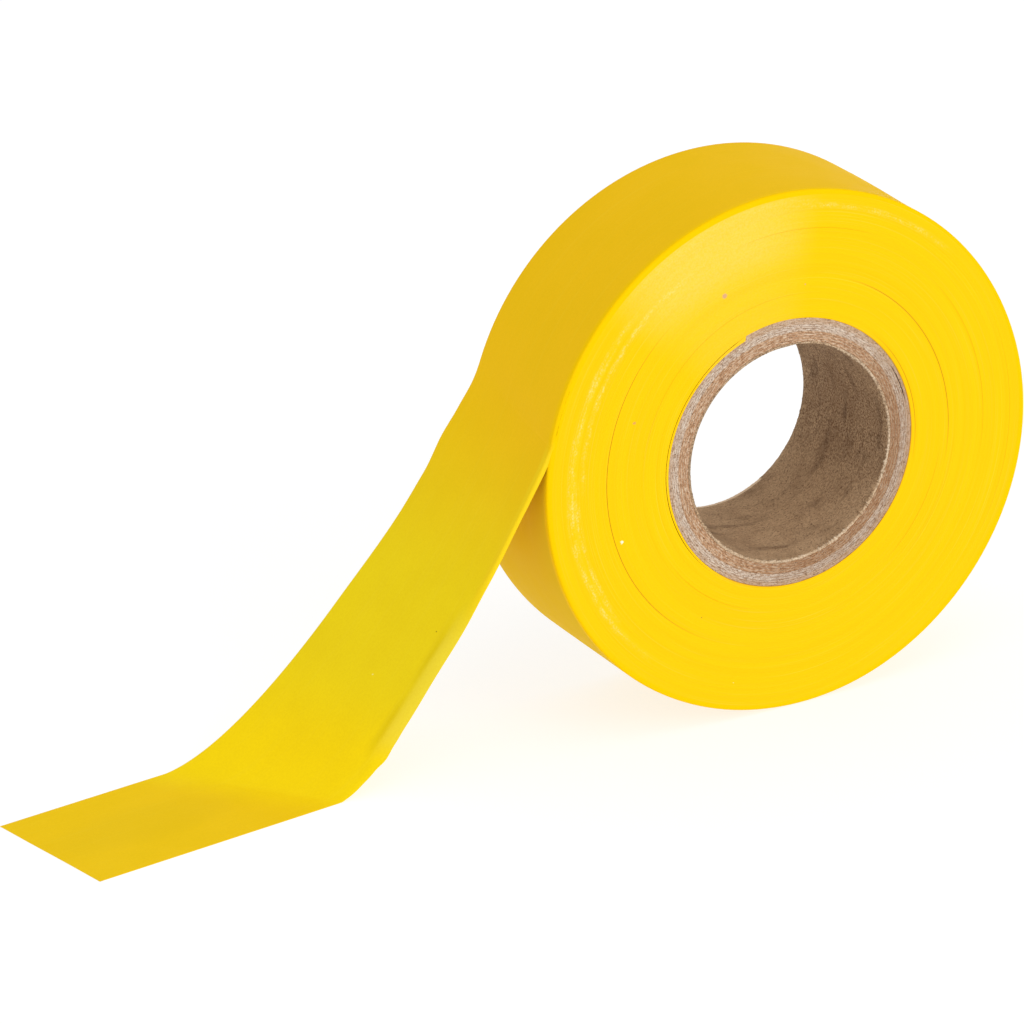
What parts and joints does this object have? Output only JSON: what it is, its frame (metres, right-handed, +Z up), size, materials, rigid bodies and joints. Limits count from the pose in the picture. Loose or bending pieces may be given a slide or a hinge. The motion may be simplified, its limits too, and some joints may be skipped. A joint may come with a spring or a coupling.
{
  "type": "flagging tape roll",
  "caption": "Roll of plain non-adhesive flagging film on a spiral-wound cardboard core, standing on its rim, with a free tail that drops to the floor and lies flat.",
  "frame": {"origin": "centre of the core's bore, half way along it", "axes": "+Y along the bore, away from the front face; +Z up; the free tail leaves towards -X; the floor is at z = minus the roll's radius"},
  "size_m": [0.1898, 0.0354, 0.0964],
  "materials": {
    "film": "satin yellow film, wound edge on",
    "tail_film": "thin yellow film, slightly see-through",
    "liner_card": "rough kraft liner",
    "brown_card": "cut kraft board",
    "grey_card": "cut grey board"
  },
  "bodies": {
    "tail": {"tail_peel": "tail_film", "tail_drop": "tail_film", "tail_fold": "tail_film"},
    "reel": {"liner_ply": "liner_card", "brown_ply_1": "brown_card", "brown_ply_2": "brown_card", "brown_ply_3": "brown_card", "brown_ply_4": "brown_card", "grey_ply_1": "grey_card", "grey_ply_2": "grey_card", "grey_ply_3": "grey_card", "grey_ply_4": "grey_card", "wrap_ply": "brown_card", "first_laps": "film", "winding_1": "film", "winding_2": "film", "winding_3": "film", "winding_4": "film", "winding_5": "film", "winding_6": "film", "winding_7": "film", "winding_8": "film", "outer_laps": "film"},
    "free_end": {"tail_end": "tail_film"}
  },
  "joints": [
    {"name": "pull_out", "type": "slide", "parent": "tail", "child": "free_end", "axis": [-0.9921, -0.1253, 0], "range_m": [0, 0.1]},
    {"name": "reel_spin", "type": "hinge", "parent": "tail", "child": "reel", "pos_m": [0, 0, 0], "axis": [0, -1, 0], "continuous": true}
  ],
  "couplings": [
    {"joint": "reel_spin", "follows": "pull_out", "rad_per_m": 20.74}
  ]
}
